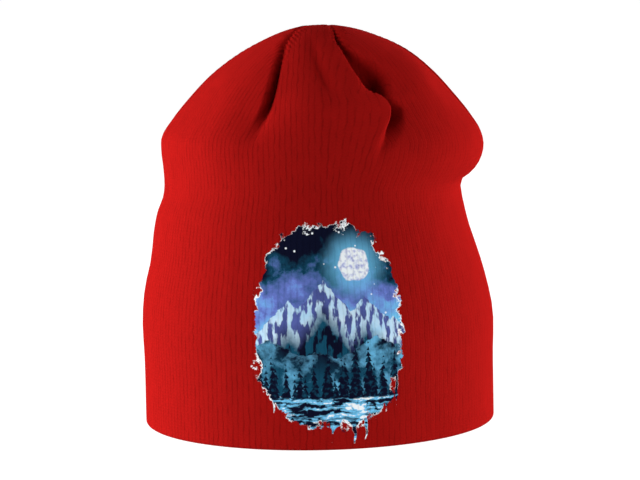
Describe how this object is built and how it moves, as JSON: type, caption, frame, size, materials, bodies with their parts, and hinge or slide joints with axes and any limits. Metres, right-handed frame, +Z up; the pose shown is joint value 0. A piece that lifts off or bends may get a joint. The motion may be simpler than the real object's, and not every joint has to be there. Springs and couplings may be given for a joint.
{
  "type": "winter hat",
  "caption": "Slouchy double-layer rib-knit beanie that stands on its hem, with darts at the crown and an open underside for the head.",
  "frame": {"origin": "middle of the hem's underside, which the hat stands on", "axes": "+Z up to the crown, -Y out of the front, +X to the right as seen from the front"},
  "size_m": [0.1755, 0.201, 0.1969],
  "materials": {
    "outer_knit": "fine rib knit, matt",
    "inner_knit": "fine rib knit, matt"
  },
  "bodies": {
    "root": {"outer_layer": "outer_knit", "inner_layer": "inner_knit"}
  },
  "joints": []
}
